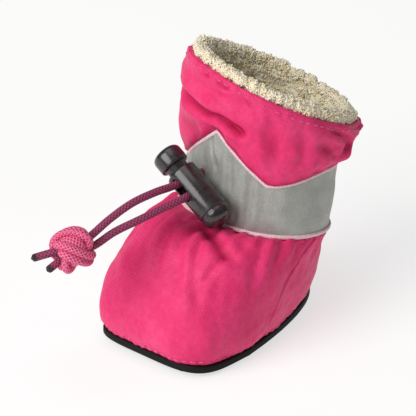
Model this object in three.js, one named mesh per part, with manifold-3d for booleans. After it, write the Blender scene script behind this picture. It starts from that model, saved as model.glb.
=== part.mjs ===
// A pull-on paw boot for a small dog: a soft hollow upper with a puffed cuff, a thin studded rubber
// sole, a reflective band round the ankle, and a drawcord with a push-button cord lock and a knot.
// Millimetres. +X is the toe, +Y the shoe's left side, +Z up. The origin is on the floor under the
// middle of the sole.
import * as THREE from "three";
import { mergeVertices } from "three/addons/utils/BufferGeometryUtils.js";
import Module from "manifold-3d";

const wasm = await Module();
wasm.setup();

// Driving dimensions of the sole.
const SOLE_LENGTH = 40;
const SOLE_WIDTH = 26;
const SOLE_THICKNESS = 1.7;
const SOLE_EDGE_ROUND = 0.4;
const TOE_SPRING = 0.7;
const TOE_SPRING_START = 0.6;
const HEEL_SPRING = 0.3;
const HEEL_SPRING_START = 0.7;
const HEEL_TAPER = 0.31;
const STUD_HEIGHT = 0.4;
const STUD_DIAMETER = 1.8;
const STUD_PITCH = 4.4;
const STUD_SUNK = 0.4;
const INSOLE_THICKNESS = 1.2;

// Driving dimensions of the upper. The ankle ring is the one at the band's lower edge.
const WALL = 2.2;
const ANKLE_HEIGHT = 18.2;
const ANKLE_SETBACK = 8.7;
const ANKLE_DEPTH = 23.2;
const ANKLE_WIDTH = 27.4;
const ANKLE_TILT = 12;
const SHAFT_LEAN = 12.3;
const CUFF_HEIGHT = 13.3;
const COLLAR_DEPTH = 30;
const COLLAR_WIDTH = 28.4;
const COLLAR_TILT = 27;
const COLLAR_SIDE_TILT = 10;
const CUFF_PUFF = 1.5;
const FOOT_PUFF = 1.8;
const FLEECE_ROLL = 1.15;
const FLEECE_INSET = 1.45;
const FLEECE_LIFT = 0.15;

// Driving dimensions of the band.
const BAND_HEIGHT = 10.8;
const BAND_THICKNESS = 0.9;
const BAND_TOP_TILT = 8;
const NOTCH_RISE = 8.8;
const SIDE_RISE = 2.4;
const NOTCH_HALF_ANGLE = 46;
const SIDE_RISE_ANGLE = 50;

// Driving dimensions of the drawcord, its lock and its knot.
const CORD_DIAMETER = 1.4;
const TOGGLE_LENGTH = 16.4;
const TOGGLE_DIAMETER = 5.6;
const TOGGLE_ROLL = 32;
const TOGGLE_CENTRE = new THREE.Vector3(5.25, -1.5, 27.9);
const BARREL_LENGTH = 11.8;
const BARREL_END_WALL = 1.5;
const BARREL_END_ROUND = 1.7;
const EDGE_BREAK = 0.4;
const HEAD_LENGTH = 3.3;
const HEAD_DIAMETER = 5.4;
const HEAD_ROUND = 1.1;
const STEM_DIAMETER = 3.9;
const STEM_CLEARANCE = 0.25;
const PLUNGER_TRAVEL = 1.1;
const SLOT_SETBACK = 0.8;
const STRAND_GAP = 1.4;
const STEM_TIP = 1.6;
const KNOT_DIAMETER = 7.9;
const KNOT_CENTRE = new THREE.Vector3(30.8, -6, 24);
const GAP = 0.3;

const COLUMNS = 48;
const CORD_SIDES = 8;
const CORD_STEPS = 12;
const SHAFT_SQUARENESS = 2.15;

const halfLength = SOLE_LENGTH / 2;
const halfWidth = SOLE_WIDTH / 2;
const hemHeight = SOLE_THICKNESS + GAP;
const radians = THREE.MathUtils.degToRad;
const mix = THREE.MathUtils.lerp;

// Solids.

function toManifold(geometry) {
  const bare = geometry.index ? geometry.toNonIndexed() : geometry.clone();
  bare.deleteAttribute("normal");
  bare.deleteAttribute("uv");
  const merged = mergeVertices(bare, 1e-4);
  return new wasm.Manifold(
    new wasm.Mesh({
      numProp: 3,
      vertProperties: merged.attributes.position.array,
      triVerts: new Uint32Array(merged.index.array),
    }),
  );
}

function toGeometry(solid) {
  const mesh = solid.getMesh();
  const geometry = new THREE.BufferGeometry();
  geometry.setAttribute("position", new THREE.BufferAttribute(mesh.vertProperties, 3));
  geometry.setIndex(new THREE.BufferAttribute(mesh.triVerts, 1));
  geometry.computeVertexNormals();
  return geometry;
}

// A skin over rings of equal length, each ring running anticlockwise seen from above. A closed loft
// joins its last ring to its first, and an open one is capped by a fan at each end.
function loft(rings, closed) {
  const count = rings[0].length;
  const points = rings.flat().map((p) => [p.x, p.y, p.z]);
  const faces = [];
  const pairs = closed ? rings.length : rings.length - 1;
  for (let i = 0; i < pairs; i++) {
    const low = i * count;
    const high = ((i + 1) % rings.length) * count;
    for (let j = 0; j < count; j++) {
      const next = (j + 1) % count;
      faces.push(low + j, low + next, high + next);
      faces.push(low + j, high + next, high + j);
    }
  }
  if (!closed) {
    for (const end of [0, rings.length - 1]) {
      const middle = new THREE.Vector3();
      rings[end].forEach((p) => middle.addScaledVector(p, 1 / count));
      const hub = points.push([middle.x, middle.y, middle.z]) - 1;
      for (let j = 0; j < count; j++) {
        const here = end * count + j;
        const next = end * count + ((j + 1) % count);
        faces.push(hub, ...(end === 0 ? [next, here] : [here, next]));
      }
    }
  }
  const geometry = new THREE.BufferGeometry();
  geometry.setAttribute("position", new THREE.Float32BufferAttribute(points.flat(), 3));
  geometry.setIndex(faces);
  geometry.computeVertexNormals();
  return geometry;
}

// Sections. A section is an egg-shaped ring in a plane that tips about the crosswise axis: front and
// back are its ends along X with their heights, middle is where it is widest, half its half width.

function springAt(x) {
  const along = x / halfLength;
  const toe = Math.max(0, (along - TOE_SPRING_START) / (1 - TOE_SPRING_START));
  const heel = Math.max(0, (-along - HEEL_SPRING_START) / (1 - HEEL_SPRING_START));
  return TOE_SPRING * toe * toe + HEEL_SPRING * heel * heel;
}

function sectionPoint(section, angle, inset = 0) {
  const { front, frontZ, back, backZ, middle, half, frontPower, backPower } = section;
  const c = Math.cos(angle);
  const s = Math.sin(angle);
  const reach = (c > 0 ? front - middle : middle - back) - inset;
  const power = c > 0 ? frontPower : backPower;
  const sum = (Math.abs(c) / reach) ** power + (Math.abs(s) / (half - inset)) ** power;
  const radius = sum ** (-1 / power);
  const x = middle + radius * c;
  const slope = (frontZ - backZ) / (front - back);
  const z = backZ + slope * (x - back) + (section.spring ?? 0) * springAt(x);
  const toHeel = Math.max(0, (middle - x) / (middle - back));
  const y = radius * s * (1 - (section.taper ?? 0) * toHeel);
  const rise = (section.notch ?? 0) * notchShare(angle) - (section.sideSlope ?? 0) * y;
  return new THREE.Vector3(x, y, z + rise);
}

function ring(section, inset = 0, lift = 0) {
  return Array.from({ length: COLUMNS }, (_, i) => {
    const p = sectionPoint(section, (2 * Math.PI * i) / COLUMNS, inset);
    p.z += lift;
    return p;
  });
}

// The cuff's lower edge parts at the front in a pointed notch, where the band shows higher. From the
// foot of the notch it climbs again towards the back.
function notchShare(angle) {
  const away = Math.abs(Math.atan2(Math.sin(angle), Math.cos(angle)));
  const foot = radians(NOTCH_HALF_ANGLE);
  if (away < foot) {
    return 1 - away / foot;
  }
  const climb = Math.min(1, (away - foot) / radians(SIDE_RISE_ANGLE));
  return ((SIDE_RISE / NOTCH_RISE) * (1 - Math.cos(Math.PI * climb))) / 2;
}

// The sole's outline: a broad squarish toe that runs in to a round heel.
const SOLE_MIDDLE = 0.32;
const soleSection = {
  front: halfLength,
  frontZ: 0,
  back: -halfLength,
  backZ: 0,
  middle: SOLE_MIDDLE * halfLength,
  half: halfWidth,
  frontPower: 4.4,
  backPower: 2.6,
  taper: HEEL_TAPER,
  spring: 1,
};

// The shaft's three stations: 0 at the band's lower edge, 1 at its upper edge, 2 at the collar.
function station(x, z, tilt, depth, width, sideTilt = 0) {
  const run = (depth / 2) * Math.cos(radians(tilt));
  const climb = (depth / 2) * Math.sin(radians(tilt));
  return {
    front: x + run,
    frontZ: z + climb,
    back: x - run,
    backZ: z - climb,
    middle: x,
    half: width / 2,
    frontPower: SHAFT_SQUARENESS,
    backPower: SHAFT_SQUARENESS,
    sideSlope: Math.tan(radians(sideTilt)),
  };
}
const leanX = Math.sin(radians(SHAFT_LEAN));
const leanZ = Math.cos(radians(SHAFT_LEAN));
const shaftX = (along) => -ANKLE_SETBACK - along * leanX;
const shaftZ = (along) => ANKLE_HEIGHT + along * leanZ;
const collarAlong = BAND_HEIGHT + CUFF_HEIGHT;
const stations = [
  station(shaftX(0), shaftZ(0), ANKLE_TILT, ANKLE_DEPTH, ANKLE_WIDTH),
  station(shaftX(BAND_HEIGHT), shaftZ(BAND_HEIGHT), BAND_TOP_TILT, ANKLE_DEPTH, ANKLE_WIDTH),
  station(
    shaftX(collarAlong),
    shaftZ(collarAlong),
    COLLAR_TILT,
    COLLAR_DEPTH,
    COLLAR_WIDTH,
    COLLAR_SIDE_TILT,
  ),
];
const notches = [0, NOTCH_RISE, 0];

function shaftSection(at) {
  const low = at < 1 ? 0 : 1;
  const share = at - low;
  const section = {};
  for (const key of Object.keys(stations[low])) {
    section[key] = mix(stations[low][key], stations[low + 1][key], share);
  }
  section.notch = mix(notches[low], notches[low + 1], share);
  return section;
}

// The foot from the hem to the ankle ring. Runs and rises are shares of the way from the hem to the
// ankle ring at the front, the back, the sides and the widest place. puff is a share of FOOT_PUFF, and
// toe and heel are how square the ring is there.
const footRows = [
  {
    frontRun: 0, frontRise: 0, backRun: 0, backRise: 0,
    side: 0, middle: 0, puff: 0, toe: 4.2, heel: 2.6,
  },
  {
    frontRun: -0.05, frontRise: 0.1, backRun: 1, backRise: 0.1,
    side: 0, middle: 0.02, puff: 0.6, toe: 3.9, heel: 2.6,
  },
  {
    frontRun: -0.06, frontRise: 0.26, backRun: 1.8, backRise: 0.26,
    side: 0.1, middle: 0.08, puff: 0.95, toe: 3.6, heel: 2.55,
  },
  {
    frontRun: -0.01, frontRise: 0.46, backRun: 2.2, backRise: 0.44,
    side: 0.2, middle: 0.18, puff: 1, toe: 3.2, heel: 2.5,
  },
  {
    frontRun: 0.1, frontRise: 0.66, backRun: 2, backRise: 0.6,
    side: 0.35, middle: 0.32, puff: 0.9, toe: 2.8, heel: 2.4,
  },
  {
    frontRun: 0.27, frontRise: 0.84, backRun: 1.6, backRise: 0.74,
    side: 0.55, middle: 0.5, puff: 0.7, toe: 2.5, heel: 2.3,
  },
  {
    frontRun: 0.48, frontRise: 1, backRun: 1.3, backRise: 0.86,
    side: 0.75, middle: 0.7, puff: 0.45, toe: 2.3, heel: 2.2,
  },
  {
    frontRun: 0.73, frontRise: 1.07, backRun: 1.1, backRise: 0.95,
    side: 0.9, middle: 0.88, puff: 0.2, toe: 2.2, heel: 2.15,
  },
];
const hemInset = 0.3;
const heelPuff = 0.3;
const liningSag = 0.35;

function footSection(row) {
  const ankle = stations[0];
  const puff = row.puff * FOOT_PUFF;
  return {
    front: mix(halfLength - hemInset, ankle.front, row.frontRun),
    frontZ: mix(hemHeight, ankle.frontZ, row.frontRise),
    back: mix(-halfLength + hemInset, ankle.back, row.backRun) - puff * heelPuff,
    backZ: mix(hemHeight, ankle.backZ, row.backRise),
    middle: mix(soleSection.middle, ankle.middle, row.middle),
    half: mix(halfWidth - hemInset, ankle.half, row.side) + puff,
    frontPower: row.toe,
    backPower: row.heel,
    taper: HEEL_TAPER * (1 - row.side),
    spring: Math.max(0, 1 - 2 * row.frontRise),
  };
}

// The sole's outline made smaller about the origin: its inner rings follow the toe and heel spring.
const MIDDLE_SHARE = 0.8;
const CORE_SHARE = 0.58;

function shrunkSole(share) {
  const section = { ...soleSection };
  for (const key of ["front", "back", "middle", "half"]) {
    section[key] *= share;
  }
  return section;
}

// The outsole: a sheet with a rounded lower edge and round studs that stand on the floor.
function makeOutsole() {
  const rings = [
    ring(shrunkSole(CORE_SHARE), 0, STUD_HEIGHT),
    ring(shrunkSole(MIDDLE_SHARE), 0, STUD_HEIGHT),
    ring(soleSection, SOLE_EDGE_ROUND, STUD_HEIGHT),
    ring(soleSection, 0, STUD_HEIGHT + SOLE_EDGE_ROUND),
    ring(soleSection, 0, SOLE_THICKNESS),
    ring(shrunkSole(MIDDLE_SHARE), 0, SOLE_THICKNESS),
    ring(shrunkSole(CORE_SHARE), 0, SOLE_THICKNESS),
  ];
  const radius = STUD_DIAMETER / 2;
  const height = STUD_HEIGHT + STUD_SUNK;
  const stud = new THREE.CylinderGeometry(radius, radius, height, 8);
  stud.rotateX(Math.PI / 2).translate(0, 0, height / 2);
  const rowPitch = STUD_PITCH * Math.sin(Math.PI / 3);
  const rows = Math.floor(halfWidth / rowPitch);
  const across = Math.ceil(halfLength / STUD_PITCH);
  const margin = radius + SOLE_EDGE_ROUND + GAP;
  let sole = toManifold(loft(rings, false));
  for (let j = -rows; j <= rows; j++) {
    for (let i = -across; i <= across; i++) {
      const x = (i + (Math.abs(j) % 2) / 2) * STUD_PITCH;
      const y = j * rowPitch;
      if (insideSole(x, y, margin)) {
        sole = sole.add(toManifold(stud.clone().translate(x, y, springAt(x))));
      }
    }
  }
  return toGeometry(sole);
}

// Tested on the outline before its taper, with y widened by as much as the taper takes off.
function insideSole(x, y, margin) {
  const { middle, back, taper } = soleSection;
  const toHeel = Math.max(0, (middle - x) / (middle - back));
  const wide = y / (1 - taper * toHeel);
  const angle = Math.atan2(wide, x - middle);
  const edge = sectionPoint({ ...soleSection, taper: 0 }, angle, margin);
  return Math.hypot(x - middle, wide) <= Math.hypot(edge.x - middle, edge.y);
}

function makeInsole() {
  const inset = hemInset + WALL + GAP;
  const top = hemHeight + INSOLE_THICKNESS;
  const rings = [
    ring(shrunkSole(CORE_SHARE), 0, hemHeight),
    ring(soleSection, inset, hemHeight),
    ring(soleSection, inset, top),
    ring(shrunkSole(CORE_SHARE), 0, top),
  ];
  return loft(rings, false);
}

// The upper: outer skin from the hem to the collar's roll, then the lining back down to the hem.
// out is how far a ring stands out of the shaft's own surface, as a share of CUFF_PUFF, and inset is
// how far it lies inside it in millimetres.
const recess = BAND_THICKNESS + GAP;
const bandRows = [0, 0.33, 0.66, 1];
const cuffRows = [
  { at: 1, out: 0.55 },
  { at: 1.16, out: 1.15 },
  { at: 1.36, out: 1.2 },
  { at: 1.56, out: 0.85 },
  { at: 1.72, out: 1 },
  { at: 1.82, out: 0.9 },
];
// The rim, from the collar's plane: outwards and upwards in millimetres. The fleece edging sits on it.
const rimRows = [
  { out: 1, lift: -1.1 },
  { out: 0.5, lift: -0.6 },
  { out: 0.1, lift: -0.75 },
  { out: -0.9, lift: -1.35 },
  { out: -2, lift: -1.9 },
];
const liningRows = [
  { at: 1.7, inset: 2.6 },
  { at: 1.5, inset: 2.5 },
  { at: 1.2, inset: 2.7 },
  { at: 1, inset: recess + WALL },
  { at: 0.5, inset: recess + WALL },
  { at: 0, inset: recess + WALL },
];

function upperRings() {
  const outer = footRows.map((row) => ring(footSection(row)));
  outer.push(ring(shaftSection(0)));
  for (const at of bandRows) {
    outer.push(ring(shaftSection(at), recess));
  }
  for (const row of cuffRows) {
    outer.push(ring(shaftSection(row.at), -row.out * CUFF_PUFF));
  }
  for (const row of rimRows) {
    outer.push(ring(stations[2], -row.out, row.lift));
  }
  const lining = liningRows.map((row) => ring(shaftSection(row.at), row.inset));
  const footLining = footRows
    .slice(1, -1)
    .reverse()
    .map((row) => ring(footSection(row), WALL, -WALL * liningSag * row.frontRise));
  return [...outer, ...lining, ...footLining, ring(footSection(footRows[0]), WALL)];
}

// The fleece edging: the lining's own soft roll, which stands on the cuff's rim.
function makeCollarFleece() {
  const sides = 10;
  const rings = Array.from({ length: sides }, (_, i) => {
    const turn = (2 * Math.PI * i) / sides;
    const inset = FLEECE_INSET - FLEECE_ROLL * Math.cos(turn);
    return ring(stations[2], inset, FLEECE_LIFT + FLEECE_ROLL * Math.sin(turn));
  });
  return loft(rings, true);
}

// The lock's own axis: u runs from the button's face, u = 0, to the barrel's closed end.
const upright = new THREE.Vector3(0, 1, 0);
const toggleAxis = upright.clone().applyAxisAngle(new THREE.Vector3(1, 0, 0), -radians(TOGGLE_ROLL));
const barrelStart = TOGGLE_LENGTH - BARREL_LENGTH;
const strandSpacing = CORD_DIAMETER + STRAND_GAP;
const slotWidth = CORD_DIAMETER + 2 * GAP;
const slotStart = barrelStart + SLOT_SETBACK;
const slotEnd = slotStart + slotWidth + strandSpacing;
const strandPlaces = [slotStart + slotWidth / 2, slotEnd - slotWidth / 2];

function onToggle(u) {
  return TOGGLE_CENTRE.clone().addScaledVector(toggleAxis, u - TOGGLE_LENGTH / 2);
}

// Turns a solid of revolution about Y into the lock's axis, with its zero at the button's face.
function placeOnToggle(geometry) {
  const turn = new THREE.Quaternion().setFromUnitVectors(upright, toggleAxis);
  const start = onToggle(0);
  return geometry.applyQuaternion(turn).translate(start.x, start.y, start.z);
}

// A slot with round ends that runs along X through the lock and takes both strands.
function slotCutter(from, reach) {
  const radius = slotWidth / 2;
  const straight = (slotEnd - from) / 2 - radius;
  const shape = new THREE.Shape();
  shape.moveTo(-straight, -radius);
  shape.lineTo(straight, -radius);
  shape.absarc(straight, 0, radius, -Math.PI / 2, Math.PI / 2, false);
  shape.lineTo(-straight, radius);
  shape.absarc(-straight, 0, radius, Math.PI / 2, (3 * Math.PI) / 2, false);
  const cutter = new THREE.ExtrudeGeometry(shape, {
    depth: 2 * reach,
    bevelEnabled: false,
    curveSegments: 6,
  });
  const side = new THREE.Vector3(1, 0, 0);
  const up = new THREE.Vector3().crossVectors(side, toggleAxis);
  const centre = onToggle((from + slotEnd) / 2);
  cutter.translate(0, 0, -reach);
  cutter.applyMatrix4(new THREE.Matrix4().makeBasis(toggleAxis, up, side));
  return toManifold(cutter.translate(centre.x, centre.y, centre.z));
}

function turned(profile) {
  const points = profile.map(([radius, height]) => new THREE.Vector2(radius, height));
  return toManifold(placeOnToggle(new THREE.LatheGeometry(points, 20)));
}

// A rounded rim, from the side to the end face. towards is 1 where the solid lies above the face.
function rim(radius, height, round, towards) {
  const steps = 3;
  return Array.from({ length: steps + 1 }, (_, i) => {
    const angle = ((i / steps) * Math.PI) / 2;
    return [
      radius - round * (1 - Math.cos(angle)),
      height + towards * round * (1 - Math.sin(angle)),
    ];
  });
}

function makeBarrel() {
  const radius = TOGGLE_DIAMETER / 2;
  const bore = STEM_DIAMETER / 2 + STEM_CLEARANCE;
  const floor = TOGGLE_LENGTH - BARREL_END_WALL;
  const body = turned([
    [0, floor],
    [bore, floor],
    [bore, barrelStart],
    ...rim(radius, barrelStart, EDGE_BREAK, 1).reverse(),
    ...rim(radius, TOGGLE_LENGTH, BARREL_END_ROUND, -1),
    [0, TOGGLE_LENGTH],
  ]);
  return toGeometry(body.subtract(slotCutter(slotStart, TOGGLE_DIAMETER)));
}

function makePlunger() {
  const stem = STEM_DIAMETER / 2;
  const head = HEAD_DIAMETER / 2;
  const tip = slotEnd + STEM_TIP;
  const body = turned([
    [0, 0],
    ...rim(head, 0, HEAD_ROUND, 1).reverse(),
    ...rim(head, HEAD_LENGTH, EDGE_BREAK, -1),
    [stem, HEAD_LENGTH],
    ...rim(stem, tip, EDGE_BREAK, -1),
    [0, tip],
  ]);
  return toGeometry(body.subtract(slotCutter(slotStart - PLUNGER_TRAVEL, TOGGLE_DIAMETER)));
}

// The band: a strip in the upper's recess, from the same stations, with a buttonhole for the cord.
const BUTTONHOLE_REACH = 8.5;

function makeBand() {
  const edges = [GAP, 0, 0, -GAP];
  const outer = bandRows.map((at, i) => ring(shaftSection(at), 0, edges[i]));
  const inner = bandRows.map((at, i) => ring(shaftSection(at), BAND_THICKNESS, edges[i]));
  const strip = toManifold(loft([...outer, ...inner.reverse()], true));
  return toGeometry(strip.subtract(slotCutter(slotStart, BUTTONHOLE_REACH)));
}

// The drawcord's route from the upper's recess through the band and the lock to the knot. Each
// strand's first two points lie on the lock's axis, and the rest are chosen by hand.
const upperStrand = [
  [9.2, -3.05, 28.95],
  [13, -3.2, 29.3],
  [18, -3.9, 28.9],
  [22.6, -4.8, 27.3],
  [26.85, -5.6, 25.2],
];
const lowerStrand = [
  [9.2, -0.65, 27.3],
  [13, -1.3, 26.9],
  [18, -2.4, 26.1],
  [22.6, -3.9, 25],
  [26.65, -5.1, 23.4],
];

function strandCurve(place, freePoints) {
  const lock = onToggle(place);
  const start = new THREE.Vector3(recessFront(lock) + GAP, lock.y, lock.z);
  const free = freePoints.map((p) => new THREE.Vector3(...p));
  return new THREE.CatmullRomCurve3([start, lock, ...free]);
}

// Where the upper's recess lies at the front, at a strand's height and side.
function recessFront(point) {
  const angle = Math.atan2(point.y, ANKLE_DEPTH / 2);
  let nearest = sectionPoint(shaftSection(0), angle, recess);
  for (let at = 0; at <= 1; at += 0.02) {
    const here = sectionPoint(shaftSection(at), angle, recess);
    if (Math.abs(here.z - point.z) < Math.abs(nearest.z - point.z)) {
      nearest = here;
    }
  }
  return nearest.x;
}

function makeStrand(place, freePoints) {
  const radius = CORD_DIAMETER / 2;
  const corners = Array.from({ length: CORD_SIDES }, (_, i) => {
    const angle = (2 * Math.PI * i) / CORD_SIDES;
    return new THREE.Vector2(radius * Math.cos(angle), radius * Math.sin(angle));
  });
  return new THREE.ExtrudeGeometry(new THREE.Shape(corners), {
    steps: CORD_STEPS,
    extrudePath: strandCurve(place, freePoints),
    bevelEnabled: false,
  });
}

// The knot: a round body with the two cut tails of the cord.
const tails = [
  [6.2, -4, -0.8],
  [5.2, -1.2, -2.6],
];

function makeKnot() {
  const radius = CORD_DIAMETER / 2;
  let knot = toManifold(
    new THREE.SphereGeometry(KNOT_DIAMETER / 2, 14, 10).translate(...KNOT_CENTRE),
  );
  for (const tail of tails) {
    const reach = new THREE.Vector3(...tail);
    const length = reach.length();
    const turn = new THREE.Quaternion().setFromUnitVectors(upright, reach.normalize());
    const stub = new THREE.CylinderGeometry(radius, radius, length, CORD_SIDES)
      .translate(0, length / 2, 0)
      .applyQuaternion(turn)
      .translate(...KNOT_CENTRE);
    knot = knot.add(toManifold(stub));
  }
  return toGeometry(knot);
}

// Materials, from the real finishes.
const finish = (color, roughness, metalness = 0) =>
  new THREE.MeshStandardMaterial({ color, roughness, metalness });
const pinkFabric = finish("#df3d6f", 0.75);
const fleece = finish("#e5c1a9", 0.95);
const blackRubber = finish("#141214", 0.6);
const reflectiveTape = finish("#a9a8a4", 0.45, 0.2);
const pinkCord = finish("#b3325f", 0.7);
const blackPlastic = finish("#1c181a", 0.4);

const shoe = new THREE.Group();
function add(name, geometry, material) {
  const mesh = new THREE.Mesh(geometry, material);
  mesh.name = name;
  shoe.add(mesh);
}

add("outsole", makeOutsole(), blackRubber);
add("insole", makeInsole(), fleece);
add("upper", loft(upperRings(), true), pinkFabric);
add("collar_fleece", makeCollarFleece(), fleece);
add("ankle_band", makeBand(), reflectiveTape);
add("toggle_barrel", makeBarrel(), blackPlastic);
add("toggle_plunger", makePlunger(), blackPlastic);
add("drawcord_upper", makeStrand(strandPlaces[0], upperStrand), pinkCord);
add("drawcord_lower", makeStrand(strandPlaces[1], lowerStrand), pinkCord);
add("cord_knot", makeKnot(), pinkCord);

export default shoe;
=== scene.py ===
from math import atan2, ceil, cos, hypot, pi, radians, sin, sqrt, tan

import bmesh
import bpy
import numpy as np
from mathutils import Matrix, Vector
from numpy.linalg import norm


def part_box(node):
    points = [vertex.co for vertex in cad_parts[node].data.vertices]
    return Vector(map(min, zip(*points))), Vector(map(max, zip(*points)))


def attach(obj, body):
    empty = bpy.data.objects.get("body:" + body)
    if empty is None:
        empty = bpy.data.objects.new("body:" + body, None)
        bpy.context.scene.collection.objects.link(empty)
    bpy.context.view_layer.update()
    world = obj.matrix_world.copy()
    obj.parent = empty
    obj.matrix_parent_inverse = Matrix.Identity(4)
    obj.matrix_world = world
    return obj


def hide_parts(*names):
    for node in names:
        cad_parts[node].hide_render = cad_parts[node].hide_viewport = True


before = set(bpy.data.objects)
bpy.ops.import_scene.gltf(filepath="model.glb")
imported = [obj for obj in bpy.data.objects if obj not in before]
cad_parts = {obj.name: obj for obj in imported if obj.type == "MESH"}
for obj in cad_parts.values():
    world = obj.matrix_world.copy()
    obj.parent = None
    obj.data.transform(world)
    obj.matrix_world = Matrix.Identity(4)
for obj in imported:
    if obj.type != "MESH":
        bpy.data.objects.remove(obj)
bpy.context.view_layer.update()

# A small dog's paw boot: pink woven upper over cream fleece, grey reflective band, black rubber sole,
# and a drawcord with a cord lock. Lengths are in millimetres until a mesh is made.
MM = 0.001

# Sizes of the CAD model.
SOLE_LENGTH = 40.0
SOLE_WIDTH = 26.0
SOLE_THICKNESS = 1.7
SOLE_EDGE_ROUND = 0.4
TOE_SPRING = 0.7
TOE_SPRING_START = 0.6
HEEL_SPRING = 0.3
HEEL_SPRING_START = 0.7
HEEL_TAPER = 0.31
STUD_HEIGHT = 0.4
STUD_DIAMETER = 1.8
STUD_PITCH = 4.4
INSOLE_THICKNESS = 1.2
WALL = 2.2
ANKLE_HEIGHT = 18.2
ANKLE_SETBACK = 8.7
ANKLE_DEPTH = 23.2
ANKLE_WIDTH = 27.4
ANKLE_TILT = 12.0
SHAFT_LEAN = 12.3
CUFF_HEIGHT = 13.3
COLLAR_DEPTH = 30.0
COLLAR_WIDTH = 28.4
COLLAR_TILT = 27.0
COLLAR_SIDE_TILT = 10.0
CUFF_PUFF = 1.5
FOOT_PUFF = 1.8
FLEECE_ROLL = 1.15
FLEECE_INSET = 1.45
FLEECE_LIFT = 0.15
BAND_HEIGHT = 10.8
BAND_THICKNESS = 0.9
BAND_TOP_TILT = 8.0
NOTCH_RISE = 8.8
NOTCH_HALF_ANGLE = 46.0
SIDE_RISE = 2.4
SIDE_RISE_ANGLE = 50.0
CORD_DIAMETER = 1.4
TOGGLE_LENGTH = 16.4
TOGGLE_DIAMETER = 5.6
TOGGLE_ROLL = 32.0
TOGGLE_CENTRE = (5.25, -1.5, 27.9)
BARREL_LENGTH = 11.8
BARREL_END_WALL = 1.5
BARREL_END_ROUND = 1.7
HEAD_LENGTH = 3.3
HEAD_DIAMETER = 5.4
HEAD_ROUND = 1.1
STEM_DIAMETER = 3.9
STEM_CLEARANCE = 0.25
PLUNGER_TRAVEL = 1.1
SLOT_SETBACK = 0.8
STRAND_GAP = 1.4
STEM_TIP = 1.6
KNOT_CENTRE = (30.8, -6.0, 24.0)
GAP = 0.3
HEM_INSET = 0.3
HEEL_PUFF = 0.3
SHAFT_SQUARENESS = 2.15

HALF_LENGTH = SOLE_LENGTH / 2
HALF_WIDTH = SOLE_WIDTH / 2
HEM_HEIGHT = SOLE_THICKNESS + GAP
RECESS = BAND_THICKNESS + GAP

# Sizes of what the scene adds.
HEM_SEAM = 0.42
RIM_SEAM = 1.88
DEEPEST_CREASE = 1.7
# How much painted shade the cloth takes where it is drawn under the band's edges.
EDGE_SHADE = 1.0
CLOTH_THICKNESS = 0.35
KNIT_THICKNESS = 0.3
STITCH_PITCH = 1.5
MOULDED_EDGE = 0.12
SMALL_ROUND = 0.4
SOLE_TOP_ROUND = 0.3
STUD_DRAFT = 0.08
TUFT_RADII = (0.22, 0.17)
TUFT_LENGTHS = (0.28, 0.52)
TUFT_SUNK = 0.08

# How finely the surfaces are drawn: rows of the foot, steps between the cuff's keys, rows of the
# lining and how many of them show, sides of the fleece edging and of the lock, and steps of a round.
FOOT_STEPS = 60
CUFF_STEPS = 7
LINING_STEPS = 44
LINING_SEEN = 30
EDGING_SIDES = 20
LATHE_SIDES = 56
ROUND_STEPS = 5


def set_all(thing, **settings):
    for name, value in settings.items():
        setattr(thing, name, value)
    return thing


def add_object(name, data, place=None, way=None):
    """Puts an object into the scene. A camera or a lamp has a place and faces along a vector."""
    made = bpy.data.objects.new(name, data)
    if place is not None:
        made.location = place
        made.rotation_mode = "QUATERNION"
        made.rotation_quaternion = way.to_track_quat("-Z", "Y")
    bpy.context.scene.collection.objects.link(made)
    return made


# The camera: the photo's angle to the shoe, through a long lens.
VIEW_AZIMUTH = radians(133)
VIEW_ELEVATION = radians(28)
VIEW_WIDTH = 72.8
VIEW_DISTANCE = 1500.0
VIEW_ASIDE = -2.13
VIEW_ABOVE = 19.71
SENSOR_WIDTH = 36.0

level = cos(VIEW_ELEVATION)
back = Vector((sin(VIEW_AZIMUTH) * level, -cos(VIEW_AZIMUTH) * level, sin(VIEW_ELEVATION)))
right = Vector((cos(VIEW_AZIMUTH), sin(VIEW_AZIMUTH), 0))
up = back.cross(right)
aim = right * VIEW_ASIDE + up * VIEW_ABOVE
focal_length = SENSOR_WIDTH * VIEW_DISTANCE / VIEW_WIDTH
view = bpy.data.cameras.new("camera")
set_all(view, sensor_width=SENSOR_WIDTH, lens=focal_length, clip_start=0.1, clip_end=10)
bpy.context.scene.camera = add_object("camera", view, (aim + back * VIEW_DISTANCE) * MM, -back)


# Surfaces.


def keep_mesh(name, bm):
    """Puts a finished bmesh, drawn in millimetres, into the scene in metres."""
    bmesh.ops.scale(bm, vec=(MM, MM, MM), verts=bm.verts)
    mesh = bpy.data.meshes.new(name)
    bm.to_mesh(mesh)
    bm.free()
    mesh.shade_smooth()
    return add_object(name, mesh)


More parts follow.
